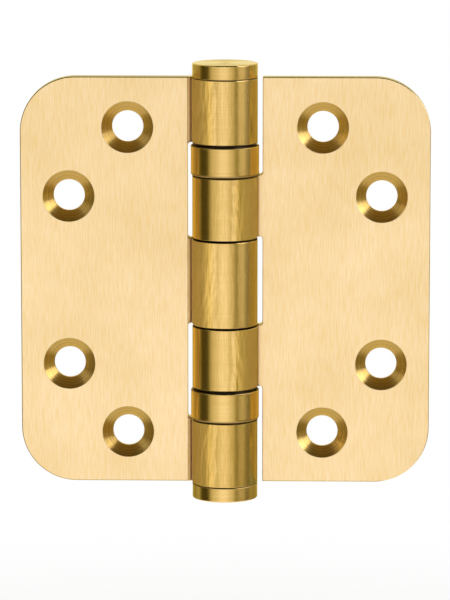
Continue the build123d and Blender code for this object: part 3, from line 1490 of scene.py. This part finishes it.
@dataclass
class Tips:
    """The two buttons that close the barrel's ends, each with a spigot in the knuckle's bore."""

    radius: float = BARREL_RADIUS
    height: float = 3.2
    seat: float = TIP_JOINT
    spigot_radius: float = 4.1
    spigot_length: float = 4.0
    spigot_chamfer: float = 0.4
    edge_radius: float = 0.25

    def build(self) -> tuple[bpy.types.Object, bpy.types.Object]:
        """Shapes the top button and turns a copy of it over for the bottom.

        Returns:
            The top and the bottom button.
        """
        top = Bench.drum(self.radius, self.seat, self.seat + self.height, "top_button")
        Bench.open(top, "EDGE")
        Bench.pick_edges(lambda a, b: abs(a.z - b.z) < TOUCHING)
        bpy.ops.mesh.bevel(
            offset=self.edge_radius, offset_type="OFFSET", segments=5, affect="EDGES", clamp_overlap=False
        )
        bpy.ops.mesh.select_mode(type="FACE")
        Bench.pick_faces(lambda centre, normal: normal.z < -FACING and centre.z < self.seat + NEAR)
        bpy.ops.mesh.inset(thickness=self.radius - self.edge_radius - self.spigot_radius, depth=0)
        bpy.ops.mesh.extrude_region_move(TRANSFORM_OT_translate={"value": (0, 0, -self.spigot_length)})
        bpy.ops.mesh.select_mode(type="EDGE")
        Bench.pick_edges(lambda a, b: max(a.z, b.z) < self.seat - self.spigot_length + NEAR)
        bpy.ops.mesh.bevel(offset=self.spigot_chamfer, offset_type="OFFSET", segments=1, affect="EDGES")
        Bench.close()
        bottom = Bench.copy(top, "bottom_button")
        bottom.rotation_euler = (math.pi, 0, 0)
        Bench.settle(bottom)
        for piece in (top, bottom):
            Bench.finish(piece)
        return top, bottom


@dataclass
class Cups:
    """The two bearing cups, which stand the same way up and hold the races and balls."""

    radius: float = 7.4
    height: float = 6.6
    wall: float = 0.7
    floor: float = 1.0
    floor_bore: float = 4.5
    foot_radius: float = 0.6
    foot_facing: float = 0.9999
    lip_radius: float = 0.2
    upper_seat: float = 23.3
    lower_seat: float = -30.3

    def build(self) -> tuple[bpy.types.Object, bpy.types.Object]:
        """Shapes the upper cup and copies it down the barrel.

        Returns:
            The upper and the lower cup.
        """
        rim = self.upper_seat + self.height
        upper = Bench.drum(self.radius, self.upper_seat, rim, "upper_cup")
        Bench.open(upper, "EDGE")
        Bench.pick_edges(lambda a, b: max(a.z, b.z) < self.upper_seat + TOUCHING)
        bpy.ops.mesh.bevel(
            offset=self.foot_radius, offset_type="OFFSET", segments=8, affect="EDGES", clamp_overlap=False
        )
        bpy.ops.mesh.select_mode(type="FACE")
        Bench.pick_faces(lambda centre, normal: normal.z > FACING)
        bpy.ops.mesh.inset(thickness=self.wall, depth=0)
        bpy.ops.mesh.extrude_region_move(TRANSFORM_OT_translate={"value": (0, 0, self.floor - self.height)})
        bpy.ops.mesh.inset(thickness=self.radius - self.wall - self.floor_bore, depth=0)
        Bench.pick_faces(lambda centre, normal: normal.z < -self.foot_facing)
        bpy.ops.mesh.inset(thickness=self.radius - self.foot_radius - self.floor_bore, depth=0)
        Bench.pick_faces(lambda centre, normal: centre.xy.length < NEAR)
        bpy.ops.mesh.bridge_edge_loops()
        bpy.ops.mesh.select_mode(type="EDGE")
        Bench.pick_edges(lambda a, b: min(a.z, b.z) > rim - TOUCHING)
        self._keep_rings()
        bpy.ops.mesh.bevel(
            offset=self.lip_radius, offset_type="OFFSET", segments=4, affect="EDGES", clamp_overlap=False
        )
        Bench.close()
        lower = Bench.copy(upper, "lower_cup")
        lower.location = (0, 0, self.lower_seat - self.upper_seat)
        Bench.settle(lower)
        for piece in (upper, lower):
            Bench.finish(piece)
        return upper, lower

    @staticmethod
    def _keep_rings() -> None:
        """Keeps selected only the edges that run round the axis."""
        shape = bmesh.from_edit_mesh(bpy.context.edit_object.data)
        for edge in shape.edges:
            if edge.select:
                first, second = (corner.co.xy.length for corner in edge.verts)
                if abs(first - second) > NEAR:
                    edge.select_set(False)
        bmesh.update_edit_mesh(bpy.context.edit_object.data)


@dataclass
class Studio:
    """The pale floor, the soft light all round and the camera.

    Its lengths are in metres, but the camera's focal length and sensor are in millimetres. Its angles are
    in degrees.
    """

    effects: Effects
    floor_height: float = -0.1
    floor_width: float = 8.0
    floor_colour: Colour = (0.98, 0.98, 0.98)
    open_light: Colour = (1.0, 1.0, 1.0)
    white_from: float = 0.14
    white_fade: float = 0.1
    distance: float = 0.9
    elevation: float = 9.31
    azimuth: float = 1.55
    target: Point = (0.0, 0.0, -0.00414)
    focal_length: float = 248.2
    sensor_width: float = 36.0
    near_clip: float = 0.01

    def build(self) -> None:
        """Sets up the floor, the light and the camera."""
        self._lay_floor()
        self._light()
        self._place_camera()

    def _lay_floor(self) -> None:
        """Lays the floor. Metal sees the studio through it, as it does all round."""
        Bench.clear()
        bpy.ops.mesh.primitive_plane_add(size=self.floor_width, location=(0, 0, self.floor_height))
        floor = bpy.context.active_object
        floor.name = floor.data.name = "floor"
        Bench.settle(floor)
        material = bpy.data.materials.new("pale_floor")
        nodes = Nodes.fresh(material)
        distance = nodes.vector("LENGTH", nodes.add("TexCoord").outputs["Object"], output=1)
        fade = nodes.rise(distance, (self.white_from, self.white_from + self.white_fade))
        near = nodes.add("BsdfDiffuse")
        near.inputs["Color"].default_value = opaque(self.floor_colour)
        far = nodes.add("Emission")
        blend = nodes.add("MixShader")
        nodes.link(nodes.times(fade, nodes.add("LightPath").outputs["Is Camera Ray"]), blend.inputs[0])
        nodes.link(near.outputs[0], blend.inputs[1])
        nodes.link(far.outputs[0], blend.inputs[2])
        nodes.link(blend.outputs[0], nodes.add("OutputMaterial").inputs[0])
        floor.data.materials.append(material)
        floor.visible_glossy = False

    def _light(self) -> None:
        """Lights the scene from all round.

        The background and the light on the floor are plain white. Metal sees the studio's walls.
        """
        world = bpy.data.worlds.new("studio")
        bpy.context.scene.world = world
        world.cycles.sampling_method = "NONE"
        nodes = Nodes.fresh(world)
        room = nodes.add("Group")
        room.node_tree = self.effects.group(Effect.STUDIO)
        nodes.link(nodes.add("TexCoord").outputs["Generated"], room.inputs[0])
        glossy = nodes.add("LightPath").outputs["Is Glossy Ray"]
        background = nodes.add("Background")
        background.inputs["Strength"].default_value = 1.0
        light = nodes.mix(glossy, opaque(self.open_light), room.outputs[0])
        nodes.link(light, background.inputs["Color"])
        nodes.link(background.outputs[0], nodes.add("OutputWorld").inputs[0])

    def _place_camera(self) -> None:
        """Places the camera where the hinge's outline and holes agree best with the photograph's view."""
        camera = bpy.data.objects.new("camera", bpy.data.cameras.new("camera"))
        bpy.context.collection.objects.link(camera)
        up, turn = math.radians(self.elevation), math.radians(self.azimuth)
        away = Vector((math.sin(turn) * math.cos(up), -math.cos(turn) * math.cos(up), math.sin(up)))
        camera.location = Vector(self.target) + away * self.distance
        camera.rotation_euler = away.to_track_quat("Z", "Y").to_euler()
        camera.data.lens = self.focal_length
        camera.data.sensor_width = self.sensor_width
        camera.data.clip_start = self.near_clip
        bpy.context.scene.camera = camera


@dataclass
class Hinge:
    """The whole hinge: what is modelled here, and the inner pieces that are shown as they were built.

    The inner pieces get their finishes by a word in their names.
    """

    frame: dict
    paint: Paintshop
    inner: dict[str, Finish] = field(
        default_factory=lambda: {
            "hinge_pin": PIN_STEEL,
            "race": RACE_STEEL,
            "cage": CAGE_BRASS,
            "ball": BALL_STEEL,
        }
    )

    def build(self) -> None:
        """Builds and dresses every piece."""
        self._make_leaves()
        self._make_turned_pieces()
        self._dress_inner_pieces()

    def _settle_in(self, piece: bpy.types.Object, body: str, node: str, finish: Finish) -> None:
        """Puts a piece on its body in place of a node, and dresses it.

        Args:
            piece: The piece.
            body: The body that it moves with.
            node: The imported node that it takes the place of.
            finish: Its finish.
        """
        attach(piece, body)
        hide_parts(node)
        self.paint.dress(piece, finish)
        log.info("%s: %d faces, in place of %s", piece.name, len(piece.data.polygons), node)

    def _make_leaves(self) -> None:
        """Builds both leaves."""
        left = Leaf(
            name="left_rolled_leaf",
            body="left_side",
            side=-1,
            notches=((9.4, 30.3), (-30.3, -9.4)),
        )
        right = Leaf(
            name="right_rolled_leaf",
            body="right_side",
            side=1,
            notches=((23.3, 60.0), (-9.7, 9.7), (-60.0, -23.3)),
            face_round_start=7.6,
        )
        for leaf, node, finish in (
            (left, "left_leaf", SATIN_LEAF_LEFT),
            (right, "right_leaf", SATIN_LEAF_RIGHT),
        ):
            self._settle_in(leaf.build(), leaf.body, node, finish)

    def _make_turned_pieces(self) -> None:
        """Builds the buttons and the bearing cups."""
        top, bottom = Tips().build()
        upper, lower = Cups().build()
        for piece, body, node in (
            (top, "left_side", "top_tip"),
            (bottom, "left_side", "bottom_tip"),
            (upper, "right_side", "upper_bearing_shell"),
            (lower, "left_side", "lower_bearing_shell"),
        ):
            self._settle_in(piece, body, node, TURNED_BRASS)

    def _dress_inner_pieces(self) -> None:
        """Gives the pin, races, cages and balls their finishes."""
        for name, node in self.frame["nodes"].items():
            for word, finish in self.inner.items():
                if word in name:
                    self.paint.dress(node, finish)
                    log.info("%s: %s", name, finish.name)


def main() -> None:
    """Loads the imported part, dresses it, and sets up the studio."""
    logging.basicConfig(level=logging.INFO, format="%(name)s: %(message)s")
    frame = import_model()
    bpy.context.scene.view_settings.view_transform = "Standard"
    effects = Effects(StudioRoom())
    Hinge(frame, Paintshop(effects)).build()
    Studio(effects).build()


if __name__ == "__main__":
    main()
